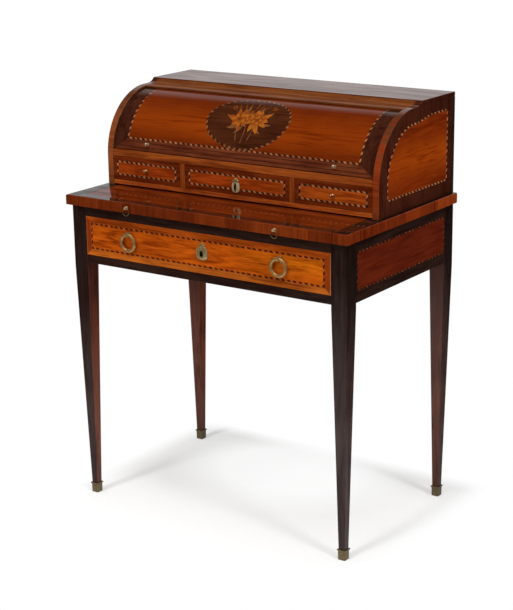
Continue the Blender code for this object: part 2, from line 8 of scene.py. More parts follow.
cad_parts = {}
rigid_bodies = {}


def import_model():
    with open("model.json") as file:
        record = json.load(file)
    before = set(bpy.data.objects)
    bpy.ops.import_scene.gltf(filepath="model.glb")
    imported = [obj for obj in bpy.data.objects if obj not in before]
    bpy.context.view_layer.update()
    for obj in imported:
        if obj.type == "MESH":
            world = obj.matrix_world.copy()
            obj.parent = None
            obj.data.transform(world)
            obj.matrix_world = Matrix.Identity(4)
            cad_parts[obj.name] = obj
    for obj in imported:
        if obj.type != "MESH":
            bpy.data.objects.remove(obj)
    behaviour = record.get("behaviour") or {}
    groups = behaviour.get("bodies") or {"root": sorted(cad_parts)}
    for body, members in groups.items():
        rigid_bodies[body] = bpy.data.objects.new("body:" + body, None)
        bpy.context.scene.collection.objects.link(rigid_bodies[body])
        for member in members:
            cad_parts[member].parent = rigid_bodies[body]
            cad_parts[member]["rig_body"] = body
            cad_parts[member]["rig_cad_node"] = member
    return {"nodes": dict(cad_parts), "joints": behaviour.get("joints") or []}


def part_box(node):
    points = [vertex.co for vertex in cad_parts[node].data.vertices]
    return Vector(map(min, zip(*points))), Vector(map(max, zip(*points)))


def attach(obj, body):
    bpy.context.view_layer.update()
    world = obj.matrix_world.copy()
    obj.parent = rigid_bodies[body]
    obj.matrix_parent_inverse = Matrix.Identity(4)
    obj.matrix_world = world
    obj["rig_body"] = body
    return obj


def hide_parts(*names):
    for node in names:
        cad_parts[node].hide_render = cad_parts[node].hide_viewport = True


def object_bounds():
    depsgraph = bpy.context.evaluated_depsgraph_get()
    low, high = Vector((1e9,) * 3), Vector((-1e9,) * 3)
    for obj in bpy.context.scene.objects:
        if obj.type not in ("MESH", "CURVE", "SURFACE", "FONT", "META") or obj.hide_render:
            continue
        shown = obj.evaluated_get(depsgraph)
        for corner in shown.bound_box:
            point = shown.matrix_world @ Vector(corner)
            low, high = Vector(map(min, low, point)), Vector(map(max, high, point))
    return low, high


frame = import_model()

cad_low, cad_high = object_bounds()
bpy.context.scene.view_settings.view_transform = "Standard"
bpy.ops.object.select_all(action="DESELECT")

# Camera. It stands off the front right corner, at standing eye level, with a long lens.
# The lens is given in pixels of the picture's long side, and the frame leans a little to the left.
SENSOR_WIDTH = 36
FOCAL_PIXELS = 1588.2
LONG_SIDE_PIXELS = 610
CAMERA_PLACE = (2.057, -2.9599, 1.5336)
CAMERA_AZIMUTH = math.radians(35.0)
CAMERA_ELEVATION = math.radians(16.28)
CAMERA_LEAN = math.radians(-0.88)
bpy.ops.object.camera_add()
camera = bpy.context.object
camera.data.sensor_width = SENSOR_WIDTH
camera.data.lens = SENSOR_WIDTH * FOCAL_PIXELS / LONG_SIDE_PIXELS
camera.matrix_world = (
    Matrix.Translation(CAMERA_PLACE)
    @ Matrix.Rotation(CAMERA_AZIMUTH, 4, "Z")
    @ Matrix.Rotation(math.pi / 2 - CAMERA_ELEVATION, 4, "X")
    @ Matrix.Rotation(CAMERA_LEAN, 4, "Z")
)
bpy.context.scene.camera = camera


# Legs. Square and tapered, of dark stained wood, each cut from one length with its grain upright.
# The upper ends are the stiles of the frieze. The arrises are eased, and the stain is lighter below.
class Socket:
    """An output of a shader node. Sums and products on it add Math nodes."""

    def __init__(self, nodes, output):
        self.nodes = nodes
        self.output = output

    def math(self, operation, *values):
        return self.nodes.add("Math", {"operation": operation}, dict(enumerate(values)))

    def __add__(self, other):
        return self.math("ADD", self, other)

    def __sub__(self, other):
        return self.math("SUBTRACT", self, other)

    def __rsub__(self, other):
        return self.math("SUBTRACT", other, self)

    def __mul__(self, other):
        return self.math("MULTIPLY", self, other)

    def __truediv__(self, other):
        return self.math("DIVIDE", self, other)

    def __rtruediv__(self, other):
        return self.math("DIVIDE", other, self)

    __radd__ = __add__
    __rmul__ = __mul__


class Nodes:
    """A node tree, and the one way in which any node is added to it."""

    def __init__(self, owner):
        owner.use_nodes = True
        self.tree = owner.node_tree

    def feed(self, node, values):
        for key, value in values.items():
            socket = node.inputs[key]
            if isinstance(value, Socket):
                self.tree.links.new(value.output, socket)
            elif socket.type == "RGBA":
                socket.default_value = (*value[:3], 1)
            else:
                socket.default_value = value

    def add(self, kind, settings, values, output=0):
        node = self.tree.nodes.new("ShaderNode" + kind)
        for key, value in settings.items():
            setattr(node, key, value)
        self.feed(node, values)
        return Socket(self, node.outputs[output])

    def blend(self, first, second, share):
        """A colour between two, by a share from 0 to 1."""
        return self.add("Mix", {"data_type": "RGBA"}, {0: share, 6: first, 7: second}, 2)

    def spread(self, value, low, high):
        """A value that runs from 0 to 1 while the given one runs from low to high."""
        return self.add("MapRange", {}, {0: value, 1: low, 2: high})

    def distance(self, position, middle, reach):
        """How far a position lies from a middle, where 1 is the reach along each axis."""
        offset = self.add("Mapping", {"vector_type": "TEXTURE"},
                          {"Vector": position, "Location": middle, "Scale": reach})
        return self.add("VectorMath", {"operation": "LENGTH"}, {0: offset}, "Value")


class Finish(Nodes):
    """A material of the desk: a Principled surface whose constant sockets are set by name."""

    def __init__(self, name, **constants):
        self.material = bpy.data.materials.new(name)
        super().__init__(self.material)
        self.surface = self.tree.nodes["Principled BSDF"]
        self.place = self.add("TexCoord", {}, {}, "Object")
        self.show(**constants)

    def show(self, **values):
        self.feed(self.surface, {key.replace("_", " "): value for key, value in values.items()})

    def noise(self, scale, detail=2.0, bend=0.0):
        """Noise in steps of 1 / scale metres, one scale for each axis."""
        vector = self.add("Mapping", {}, {"Vector": self.place, "Scale": scale})
        return self.add("TexNoise", {}, {"Vector": vector, "Scale": 1, "Detail": detail, "Distortion": bend})


X, Y, Z = range(3)
POLISH_IOR = 1.45


def polished(name, polish=1.0, gloss=0.04):
    """A wood whose shine all comes from the clear polish over it."""
    return Finish(name, Specular_IOR_Level=0.0, Coat_Weight=polish, Coat_Roughness=gloss, Coat_IOR=POLISH_IOR)


def veneer(name, colour, along, contrast=0.7, streak=0.0028, figure=0.018, length=0.15, glow=None, leaf=None,
           vein=0.5, polish=1.0, gloss=0.04, dull=0.34):
    """Polished wood about one colour. Its grain runs along one axis: fine streaks within a broader figure,
    with dark veins and short pores. A glow of (colour, middle, reach) is a heart of another colour, which
    fades out in flames. A leaf of (axis, length) gives each sheet of a crossband its own shade."""
    finish = polished(name, polish, gloss)

    def tints(colour):
        pale = [channel * (1 + contrast * push) for channel, push in zip(colour, (1.0, 1.3, 1.2))]
        return [channel * (1 - contrast * push) for channel, push in zip(colour, (0.85, 1.05, 0.9))], pale

    def drawn(length, width):
        scale = [1 / width] * 3
        scale[along] = 1 / length
        return scale

    broad = finish.spread(finish.noise(drawn(length, figure), 4.0, 0.9), 0.38, 0.62)
    fine = finish.spread(finish.noise(drawn(length * 0.5, streak), 3.0, 0.3), 0.34, 0.66)
    veins = finish.spread(finish.noise(drawn(length * 0.8, figure * 0.3), 2.0, 1.2), 0.57, 0.7)
    pores = finish.spread(finish.noise(drawn(0.006, streak / 8), 1.0), 0.6, 0.74)
    patina = finish.spread(finish.noise([9] * 3, 3.0), 0.32, 0.68)
    tone = broad * 0.46 + fine * 0.32 + patina * 0.22
    if leaf:
        axis, length = leaf
        place = finish.add("SeparateXYZ", {}, {0: finish.place}, axis)
        number = place.math("FLOOR", place / length)
        shade = finish.add("TexWhiteNoise", {"noise_dimensions": "1D"}, {"W": number}, "Value")
        joint = place / length - number
        veins = veins.math("MAXIMUM", veins, 1 - finish.spread(joint, 0.0, 0.03))
        tone = tone * 0.55 + shade * 0.45
    deep = tints(colour)[0]
    mixed = finish.blend(*tints(colour), tone)
    if glow:
        heart, middle, reach = glow
        flames = finish.distance(finish.place, middle, reach) + (broad - 0.5) * 0.7 + (fine - 0.5) * 0.4
        heartwood = finish.blend(*tints(heart), tone)
        mixed = finish.blend(mixed, heartwood, finish.spread(flames, 1.15, 0.35) * 0.9)
    mixed = finish.blend(mixed, [channel * 0.5 for channel in deep], veins * vein)
    mixed = finish.blend(mixed, [channel * 0.4 for channel in deep], pores * 0.45)
    bump = finish.add("Bump", {}, {"Strength": 0.1, "Distance": 0.0002, "Height": fine - pores})
    finish.show(Base_Color=mixed, Roughness=dull + patina * 0.08 + pores * 0.1, Normal=bump)
    if polish:
        finish.show(Coat_Weight=(broad * 0.3 + 0.8) * polish)
    return finish.material


def only(piece):
    """Makes a piece the one that operators act on."""
    bpy.ops.object.select_all(action="DESELECT")
    piece.select_set(True)
    bpy.context.view_layer.objects.active = piece


WELD = 0.00001
FLAT = math.radians(0.5)
SHARP = math.radians(30)


def borrow(node, name):
    """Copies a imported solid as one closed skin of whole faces, ready to be shaped."""
    only(frame["nodes"][node])
    bpy.ops.object.duplicate()
    piece = bpy.context.object
    bpy.ops.object.parent_clear(type="CLEAR")
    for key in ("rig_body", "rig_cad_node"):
        del piece[key]
    piece.name = name
    piece.data.materials.clear()
    bpy.ops.object.mode_set(mode="EDIT")
    bpy.ops.mesh.select_all(action="SELECT")
    bpy.ops.mesh.customdata_custom_splitnormals_clear()
    bpy.ops.mesh.remove_doubles(threshold=WELD)
    bpy.ops.mesh.dissolve_limited(angle_limit=FLAT)
    bpy.ops.object.mode_set(mode="OBJECT")
    return piece


def ease(piece, width):
    """Rounds the sharp edges of a piece, as sanding and handling do."""
    only(piece)
    bpy.ops.object.shade_smooth()
    bevel = piece.modifiers.new("eased_edges", "BEVEL")
    bevel.width = width
    bevel.segments = 3
    bevel.angle_limit = SHARP
    bevel.harden_normals = True
    bpy.ops.object.modifier_apply(modifier=bevel.name)


def fix(piece, node, *materials):
    """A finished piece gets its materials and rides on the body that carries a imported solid."""
    for material in materials:
        piece.data.materials.append(material)
    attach(piece, frame["nodes"][node]["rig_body"])


def stand_for(piece, node, *materials):
    """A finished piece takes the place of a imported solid."""
    fix(piece, node, *materials)
    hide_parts(node)
    return piece


def take_over(node, name, *materials, eased=0.0006):
    """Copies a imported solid, eases its edges and puts the copy in its place."""
    piece = borrow(node, name)
    ease(piece, eased)
    return stand_for(piece, node, *materials)


def dress(piece, choose):
    """Gives each face of a piece one of its materials, chosen by the face's normal and middle."""
    for face in piece.data.polygons:
        face.material_index = choose(face.normal, face.center)


def leg_faces(corner):
    """Tells the front or back of the desk, its outer side, and the two faces that look inwards."""
    outward = Vector((-1 if "left" in corner else 1, -1 if "front" in corner else 1, 0))

    def choose(normal, middle):
        if abs(normal.y) > abs(normal.x):
            return 0 if normal.y * outward.y > 0 else 2
        return 1 if normal.x * outward.x > 0 else 3

    return choose


# Each face of a leg has a colour beside the frieze and a lighter one lower down.
# ALL is a reach so long that a glow doesn't change along that axis.
ALL = 9
# The colours for the faces that look to the sides are lit and shaded copies of those for the front and back
# faces: painted light and shade.
LEG_COLOURS = {"outer": ((0.0165, 0.008, 0.0062), (0.0275, 0.0115, 0.0086)),
               "side": ((0.011, 0.0052, 0.0037), (0.054, 0.03, 0.027)),
               "inner": ((0.038, 0.011, 0.0075), (0.1, 0.027, 0.0145)),
               "inner_lit_side": ((0.05, 0.014, 0.009), (0.155, 0.042, 0.0215))}
leg_woods = [veneer(f"leg_{face}_wood", upper, Z, streak=0.0022, figure=0.014,
                    glow=(lower, (0, 0, 0.22), (ALL, ALL, 0.34)))
             for face, (upper, lower) in LEG_COLOURS.items()]
corners = [f"{end}_{side}" for end in ("front", "back") for side in ("left", "right")]
for corner in corners:
    dress(take_over(f"leg_{corner}", f"{corner}_leg", *leg_woods, eased=0.001), leg_faces(corner))


# Shoes. Cast brass cups with a collar, driven onto the feet of the legs.
# The brass is dark with age and brighter in patches, where it has been rubbed.
# Painted shade and dirt darken the brass round a keyhole.
DIRT_AND_SHADE = (0.016, 0.011, 0.006)


def aged_brass(name, bright, dark, sheen=0.8, dull=0.26, dirt_and_shade=None):
    """Brass with a dark tarnish in patches and fine rubbing marks. A patch of (middle, reach) is darkened for
    dirt and painted shade.
    """
    finish = Finish(name, Metallic=sheen)
    patches = finish.spread(finish.noise([260] * 3, 4.0), 0.38, 0.66)
    specks = finish.spread(finish.noise([1500] * 3, 2.0), 0.35, 0.7)
    rubbed = finish.spread(finish.noise([90, 90, 700], 3.0), 0.3, 0.7)
    tarnish = patches * 0.65 + specks * 0.35
    colour = finish.blend(bright, dark, tarnish * 0.75)
    if dirt_and_shade:
        distance = finish.distance(finish.place, *dirt_and_shade)
        colour = finish.blend(colour, DIRT_AND_SHADE, finish.spread(distance, 1.2, 0.8))
    bump = finish.add("Bump", {}, {"Strength": 0.25, "Distance": 0.0002, "Height": rubbed - tarnish})
    finish.show(Base_Color=colour, Roughness=dull + tarnish * 0.22 + rubbed * 0.06, Normal=bump)
    return finish.material


shoe_brass = aged_brass("shoe_brass", (0.31, 0.23, 0.125), (0.09, 0.066, 0.037))
for corner in corners:
    take_over(f"sabot_{corner}", f"{corner}_shoe", shoe_brass, eased=0.00035)


# Frieze. Dark rails over and under the drawer, a back apron, and side aprons with a veneered panel.
# They are tenoned into the legs. Each panel lies inside a dark line with small lozenges let into it.
AMARANTH = (0.0195, 0.008, 0.0056)
dark_along = {
    axis: veneer(f"amaranth_{letter}", AMARANTH, axis, streak=0.0013, figure=0.016)
    for axis, letter in ((X, "x"), (Y, "y"))
}
for node in ("frieze_rail_upper", "frieze_rail_lower", "apron_back"):
    take_over(node, f"{node}_wood", dark_along[X])

ROPE_PITCH = 0.0149
ROPE_SHARE = 0.44
ROPE_WIDTH = 0.0041
ROPE_LEAN = -0.8
LET_IN = 0.0002
LINE_LIFT = 0.00006
FIELD_LIFT = 0.0001
ROPE_LIFT = 0.00012


def flat_side(node, sign):
    """Lays a drawing of (back, up, lift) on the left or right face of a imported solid."""
    low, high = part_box(node)
    x = high.x if sign > 0 else low.x
    return lambda u, v, lift: Vector((x + sign * lift, u, v))


def blank(name, outline, lift, bands=1):
    """Cuts a flat sheet of veneer to an outline, a little let in. Bands across it let it bend."""
    mesh = bpy.data.meshes.new(name)
    mesh.from_pydata([(u, v, -LET_IN) for u, v in outline], [], [range(len(outline))])
    piece = bpy.data.objects.new(name, mesh)
    bpy.context.collection.objects.link(piece)
    only(piece)
    bpy.ops.object.mode_set(mode="EDIT")
    bpy.ops.mesh.select_all(action="SELECT")
    bpy.ops.mesh.extrude_region_move(TRANSFORM_OT_translate={"value": (0, 0, LET_IN + lift)})
    low, high = min(v for u, v in outline), max(v for u, v in outline)
    for i in range(1, bands):
        bpy.ops.mesh.select_all(action="SELECT")
        bpy.ops.mesh.bisect(plane_co=(0, low + (high - low) * i / bands, 0), plane_no=(0, 1, 0))
    bpy.ops.object.mode_set(mode="OBJECT")
    return piece


def bend(piece, lay):
    """Lays a flat piece on its face, and turns its skin outwards."""
    for vertex in piece.data.vertices:
        vertex.co = lay(*vertex.co)
    only(piece)
    bpy.ops.object.mode_set(mode="EDIT")
    bpy.ops.mesh.select_all(action="SELECT")
    bpy.ops.mesh.normals_make_consistent(inside=False)
    bpy.ops.object.mode_set(mode="OBJECT")
    bpy.ops.object.shade_smooth_by_angle(angle=math.radians(20))
    return piece


def sheet(name, outline, lift, lay, bands=1):
    """Cuts a sheet of veneer and lays it on a face."""
    return bend(blank(name, outline, lift, bands), lay)


def point_on(run, share):
    """The point at a share of a run's length, and the direction of the run there."""
    lengths = [math.dist(a, b) for a, b in zip(run, run[1:])]
    left = share * sum(lengths)
    for (a, b), length in zip(zip(run, run[1:]), lengths):
        if left <= length:
            break
        left -= length
    part = left / length
    place = [p + (q - p) * part for p, q in zip(a, b)]
    return place, math.atan2(b[1] - a[1], b[0] - a[0])


def join(pieces):
    """Makes one piece of several."""
    only(pieces[0])
    for piece in pieces:
        piece.select_set(True)
    bpy.ops.object.join()
    return pieces[0]


def copied(model, name, places):
    """Copies a model to each of several places, takes it away, and joins the copies."""
    copies = []
    for place in places:
        copy = bpy.data.objects.new(name, model.data.copy())
        copy.data.transform(place)
        bpy.context.collection.objects.link(copy)
        copies.append(copy)
    bpy.data.objects.remove(model)
    return join(copies)


def rope(name, runs, lay):
    """Lozenges let into a line at an even pitch, all leaning one way."""
    bpy.ops.object.select_all(action="DESELECT")
    bpy.ops.mesh.primitive_cube_add(size=1)
    model = bpy.context.object
    bpy.ops.object.mode_set(mode="EDIT")
    bpy.ops.transform.resize(value=(ROPE_PITCH * ROPE_SHARE, ROPE_WIDTH, LET_IN + ROPE_LIFT))
    bpy.ops.transform.translate(value=(0, 0, (ROPE_LIFT - LET_IN) / 2))
    bpy.ops.object.mode_set(mode="OBJECT")
    for vertex in model.data.vertices:
        vertex.co.x += ROPE_LEAN * vertex.co.y
    places = []
    for run in runs:
        length = sum(math.dist(a, b) for a, b in zip(run, run[1:]))
        count = round(length / ROPE_PITCH)
        for i in range(count):
            (u, v), angle = point_on(run, (i + 0.5) / count)
            places.append(Matrix.Translation((u, v, 0)) @ Matrix.Rotation(angle, 4, "Z"))
    return bend(copied(model, name, places), lay)


def boxwood(name, colour, contrast=0.6):
    """Small pieces of wood: each takes its own shade, with a little grain."""
    finish = polished(name)
    shade = finish.spread(finish.noise([70] * 3, 1.0), 0.35, 0.65)
    grain = finish.spread(finish.noise([900, 900, 120], 2.0), 0.3, 0.7)
    pale = [channel * (1 + contrast) for channel in colour]
    deep = [channel * (1 - contrast) for channel in colour]
    colour = finish.blend(deep, pale, shade * 0.65 + grain * 0.35)
    finish.show(Base_Color=colour, Roughness=0.34 + grain * 0.08)
    return finish.material


light_lozenges = boxwood("boxwood_lozenges", (0.32, 0.128, 0.055))
faint_lozenges = boxwood("stained_lozenges", (0.1, 0.026, 0.0105))
line_wood = boxwood("dark_line", (0.04, 0.0085, 0.003))


def rectangle(left, right, low, high):
    """An outline of four corners, which may be grown by a margin."""
    return lambda margin: [(left - margin, low - margin), (right + margin, low - margin),
                           (right + margin, high + margin), (left - margin, high + margin)]


def panel(name, node, outline, lay, field_wood, lozenge_wood, runs=None, bands=1):
    """A field of veneer inside a line of lozenges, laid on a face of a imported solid."""
    half = ROPE_WIDTH / 2
    corners = outline(0)
    runs = runs or list(zip(corners, corners[1:] + corners[:1]))
    line = sheet(f"{name}_line", outline(half), LINE_LIFT, lay, bands)
    field = sheet(f"{name}_field", outline(-half), FIELD_LIFT, lay, bands)
    fix(line, node, line_wood)
    fix(field, node, field_wood)
    fix(rope(f"{name}_lozenges", runs, lay), node, lozenge_wood)
    return line, field


APRON_FIELD = (0.104, 0.012, 0.0032)
APRON_END_BORDER = 0.005
APRON_RAIL_BORDER = 0.0265
apron_wood = veneer("apron_veneer", APRON_FIELD, Y, 0.45, vein=0.2)
for side, sign in (("left", -1), ("right", 1)):
    node = f"apron_{side}"
    take_over(node, f"{node}_wood", dark_along[Y])
    low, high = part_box(node)
    outline = rectangle(low.y + APRON_END_BORDER, high.y - APRON_END_BORDER,
                        low.z + APRON_RAIL_BORDER, high.z - APRON_RAIL_BORDER)
    panel(f"{node}_panel", node, outline, flat_side(node, sign), apron_wood, faint_lozenges)


# Runners and bearers. Plain oak, planed and left bare, glued and nailed inside the frieze.
# The drawer slides on the runners, and the bearers over it carry the writing slide.
OAK = (0.33, 0.19, 0.085)
oak_along = {
    axis: veneer(f"oak_{letter}", OAK, axis, 0.3, streak=0.0012, polish=0.0, dull=0.58)
    for axis, letter in ((X, "x"), (Y, "y"))
}
for side in ("left", "right"):
    for node in (f"drawer_runner_{side}", f"slide_bearer_{side}"):
        take_over(node, f"{node}_oak", oak_along[Y])


# Table top. Two fixed end strips and a back rail, with the writing slide between them.
# A dark border runs along the front and the ends of a red field. The edges are faced with short-grained
# veneer, and the outer arrises are rounded.
TOP_ARRIS = 0.003


def round_over(piece, chosen, radius):
    """Rounds the edges whose two ends are both chosen by their place."""
    only(piece)
    bpy.ops.object.mode_set(mode="EDIT")
    bpy.ops.mesh.select_mode(type="EDGE")
    bpy.ops.mesh.select_all(action="DESELECT")
    bpy.ops.object.mode_set(mode="OBJECT")
    points = piece.data.vertices
    for edge in piece.data.edges:
        edge.select = all(chosen(points[i].co) for i in edge.vertices)
    bpy.ops.object.mode_set(mode="EDIT")
    bpy.ops.mesh.bevel(offset=radius, segments=5, affect="EDGES")
    bpy.ops.mesh.select_mode(type="FACE")
    bpy.ops.object.mode_set(mode="OBJECT")


TOP_EDGE = (0.125, 0.0185, 0.003)
TOP_SIDE_EDGE = (0.185, 0.0255, 0.0036)
TOP_FIELD = (0.092, 0.0125, 0.0018)
TOP_STRIP = (0.014, 0.0055, 0.0036)
EDGE_LEAF = 0.072
TOP_EASED = 0.0006
front_edge_wood = veneer("top_front_edge", TOP_EDGE, Z, leaf=(X, EDGE_LEAF))
side_edge_wood = veneer("top_side_edge", TOP_SIDE_EDGE, Z, leaf=(Y, EDGE_LEAF))
slide_wood = veneer("writing_slide_top", TOP_FIELD, X, gloss=0.05)
strip_wood = veneer("top_border", TOP_STRIP, X, gloss=0.05)
seam_wood = veneer("top_seam", TOP_STRIP, Z, polish=0.0)
top_low, top_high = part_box("top_end_left")
top_front, top_level = top_low.y, top_high.z
NEAR = 0.0001


def on_top_edge(place):
    """Whether a point is on an outer arris of the top's upper face."""
    ends = abs(abs(place.x) - cad_high.x) < NEAR
    return abs(place.z - top_level) < NEAR and (abs(place.y - top_front) < NEAR or ends)


def top_faces(normal, middle):
    """The upper face, the front edge, the end edges, the hidden faces, and the seams and the back edge."""
    if normal.z > 0.98:
        return 0
    if normal.y > 0.1 or abs(middle.x) < cad_high.x - TOP_ARRIS and abs(normal.x) > 0.1:
        return 4
    if normal.y < -0.1:
        return 1
    if abs(normal.x) > 0.1 and abs(middle.x) > cad_high.x - TOP_ARRIS:
        return 2
    return 3


for node, upper in (("top_end_left", strip_wood), ("top_end_right", strip_wood),
                    ("top_back_rail", slide_wood), ("writing_slide", slide_wood)):
    slab = borrow(node, f"{node}_wood")
    if node != "top_back_rail":
        round_over(slab, on_top_edge, TOP_ARRIS)
    ease(slab, TOP_EASED)
    stand_for(slab, node, upper, front_edge_wood, side_edge_wood, oak_along[X], seam_wood)
    dress(slab, top_faces)

FRONT_BORDER = 0.028
slide_low, slide_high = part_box("writing_slide")
outline = rectangle(slide_low.x + NEAR, slide_high.x - NEAR, top_front + TOP_ARRIS, top_front + FRONT_BORDER)
border = sheet("slide_front_border", outline(0), LINE_LIFT,
               lambda u, v, lift: Vector((u, v, top_level + lift)))
fix(border, "writing_slide", strip_wood)


# Frieze drawer front. Bright orange veneer with a straight-grained band round it, with a painted highlight
# along the arris.
# A dark line with orange lozenges parts the two, and the veneer is pierced for the key.
def flat_front(node):
    """Lays a drawing of (right, up, lift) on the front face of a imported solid."""
    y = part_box(node)[0].y
    return lambda u, v, lift: Vector((u, y - lift, v))


def front_outline(node, border):
    """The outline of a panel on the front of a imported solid, one border in from its edges."""
    low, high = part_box(node)
    return rectangle(low.x + border, high.x - border, low.z + border, high.z - border)


KEY_RADIUS = 0.0034
KEY_SLOT = 0.0046
KEY_DEPTH = 0.05


def plate_middle(node, height):
    """The middle of an escutcheon's plate, without its crest."""
    low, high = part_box(node)
    return Vector(((low.x + high.x) / 2, (low.y + high.y) / 2, low.z + height / 2))


def pierce(piece, key, drop):
    """Cuts a keyhole through a piece: a round hole with a slot that drops below it."""
    bpy.ops.object.select_all(action="DESELECT")
    bpy.ops.mesh.primitive_cylinder_add(
        vertices=32, radius=KEY_RADIUS, depth=KEY_DEPTH, location=key, rotation=(math.pi / 2, 0, 0)
    )
    hole = bpy.context.object
    bpy.ops.mesh.primitive_cube_add(
        size=1, location=key - Vector((0, 0, drop / 2)), scale=(KEY_SLOT, KEY_DEPTH, drop)
    )
    for cutter in (hole, bpy.context.object):
        cut = piece.modifiers.new("keyhole", "BOOLEAN")
        cut.operation = "DIFFERENCE"
        cut.object = cutter
        only(piece)
        bpy.ops.object.modifier_apply(modifier=cut.name)
        bpy.data.objects.remove(cutter)


FRIEZE_FIELD = (0.335, 0.053, 0.0024)
FRIEZE_GLOW = (0.45, 0.096, 0.003)
FRIEZE_BAND = (0.265, 0.043, 0.0036)
FRIEZE_BAND_FOOT = (0.365, 0.086, 0.0088)
FRIEZE_END_BAND = (0.178, 0.0255, 0.0026)
FRIEZE_LEFT_BAND = (0.234, 0.0355, 0.0052)
FRIEZE_ARRIS_HIGHLIGHT = (0.36, 0.14, 0.07)
FRIEZE_BORDER = 0.017
FRIEZE_PLATE = 0.0315
FRIEZE_KEY_RISE, FRIEZE_KEY_DROP = 0.003, 0.0105
frieze_wood = veneer("frieze_field", FRIEZE_FIELD, X, 0.75, figure=0.013, length=0.09, vein=0.3,
                     glow=(FRIEZE_GLOW, (0.27, -0.23, 0.668), (0.17, 1, 0.04)))
frieze_band = veneer("frieze_band_level", FRIEZE_BAND, X, 0.6,
                     glow=(FRIEZE_BAND_FOOT, (0, -0.23, 0.61), (ALL, 1, 0.03)))
frieze_end_band = veneer("frieze_band_upright", FRIEZE_END_BAND, Z, 0.6, vein=0.2,
                         glow=(FRIEZE_LEFT_BAND, (-0.32, -0.23, 0.66), (0.3, 1, 1)))
# The pale arris is a painted highlight.
lit_arris = veneer("lit_arris", FRIEZE_ARRIS_HIGHLIGHT, X, 0.25)
orange_lozenges = boxwood("orange_lozenges", (0.3, 0.06, 0.0075))


def on_arris(normal, middle):
    """1 for the faces of a rounded edge, 2 for the walls of a keyhole, and 0 for the flat faces."""
    if abs(middle.x) < KEY_RADIUS * 1.2 and abs(normal.y) < 0.98:
        return 2
    return max(abs(part) for part in normal) < 0.98


node = "frieze_drawer_front"
dress(take_over(node, f"{node}_wood", frieze_band, lit_arris, seam_wood, eased=0.0014), on_arris)
low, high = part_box(node)
frieze_face = flat_front(node)
frieze_key = plate_middle("frieze_escutcheon", FRIEZE_PLATE) + Vector((0, 0, FRIEZE_KEY_RISE))
BAND_EDGE = 0.0016
for side, sign, end in (("left", 1, low.x), ("right", -1, high.x)):
    near, far = end + sign * BAND_EDGE, end + sign * FRIEZE_BORDER
    corners = [(near, low.z + BAND_EDGE), (far, low.z + FRIEZE_BORDER), (far, high.z - FRIEZE_BORDER),
               (near, high.z - BAND_EDGE)]
    band = sheet(f"frieze_end_band_{side}", corners, LINE_LIFT / 2, frieze_face)
    fix(band, node, frieze_end_band)
outline = front_outline(node, FRIEZE_BORDER)
for layer in panel("frieze_drawer_panel", node, outline, frieze_face, frieze_wood, orange_lozenges):
    pierce(layer, frieze_key, FRIEZE_KEY_DROP)


# Frieze drawer box. Oak sides and back with a thin bottom between them, joined and glued.
# The bottom's grain runs from side to side. An iron lock is screwed behind the front.
for part, along in (("side_left", Y), ("side_right", Y), ("back", X), ("bottom", X)):
    take_over(f"frieze_drawer_{part}", f"frieze_drawer_{part}_oak", oak_along[along], eased=0.0005)

IRON = (0.2, 0.19, 0.18)
RUST = (0.075, 0.038, 0.02)
iron = Finish("lock_iron", Metallic=1.0)
rusted = iron.spread(iron.noise([180] * 3, 5.0), 0.45, 0.7)
scratches = iron.spread(iron.noise([900, 60, 60], 2.0), 0.3, 0.7)
iron.show(Base_Color=iron.blend(IRON, RUST, rusted), Roughness=0.38 + rusted * 0.35 + scratches * 0.08)
take_over("frieze_lock", "frieze_lock_iron", iron.material, eased=0.0008)


# Ring pulls. Cast brass rings that hang in the eyes of flat lugs, on the drawer and on the slide.
# The lugs are screwed through the front. The brass is worn bright, with tarnish left in patches.
pull_brass = aged_brass("pull_brass", (0.78, 0.46, 0.165), (0.27, 0.148, 0.05))
small_pull_brass = aged_brass("small_pull_brass", (0.42, 0.28, 0.12), (0.11, 0.07, 0.03), 0.9, 0.2)
lug_brass = aged_brass("lug_brass", (0.84, 0.6, 0.31), (0.33, 0.2, 0.09), 0.7, 0.18)


def round_off(piece, levels):
    """Rounds a coarse turned piece by subdivision."""
    only(piece)
    rounding = piece.modifiers.new("rounding", "SUBSURF")
    rounding.levels = levels
    rounding.render_levels = levels
    bpy.ops.object.modifier_apply(modifier=rounding.name)
    bpy.ops.object.shade_smooth()


for owner, lug, brass in (("frieze", pull_brass, pull_brass), ("slide", lug_brass, small_pull_brass)):
    for side in ("left", "right"):
        take_over(f"{owner}_ring_post_{side}", f"{owner}_{side}_post", lug, eased=0.0002)
        ring = borrow(f"{owner}_ring_{side}", f"{owner}_{side}_ring")
        round_off(ring, 2)
        stand_for(ring, f"{owner}_ring_{side}", brass)


# Escutcheons. Small cast brass plates, domed, with a crest like a tied bow, pinned over the keyholes.
# A row of beads runs round each plate, and the brass round the key is darkened for dirt and painted shade.
PLATE_FULLNESS = 2.8
BEAD_SHARE = 0.8
BEAD_DEPTH = 0.45
BEAD_FLATNESS = 0.8
BEAD_BACK = 0.5
BOW_BALL = 0.55
bow_brass = aged_brass("bow_brass", (0.6, 0.43, 0.2), (0.18, 0.12, 0.05), 0.75, 0.2)


def bead_model():
    """A bead of radius 1: a ball pressed a little flat, and cut off behind, where it joins its plate."""
    bpy.ops.object.select_all(action="DESELECT")
    bpy.ops.mesh.primitive_ico_sphere_add(subdivisions=2, radius=1)
    bpy.ops.object.mode_set(mode="EDIT")
    bpy.ops.transform.resize(value=(1, BEAD_FLATNESS, 1))
    bpy.ops.mesh.bisect(plane_co=(0, BEAD_BACK, 0), plane_no=(0, 1, 0), clear_outer=True, use_fill=True)
    bpy.ops.object.mode_set(mode="OBJECT")
    bpy.ops.object.shade_smooth_by_angle(angle=math.radians(50))
    return bpy.context.object


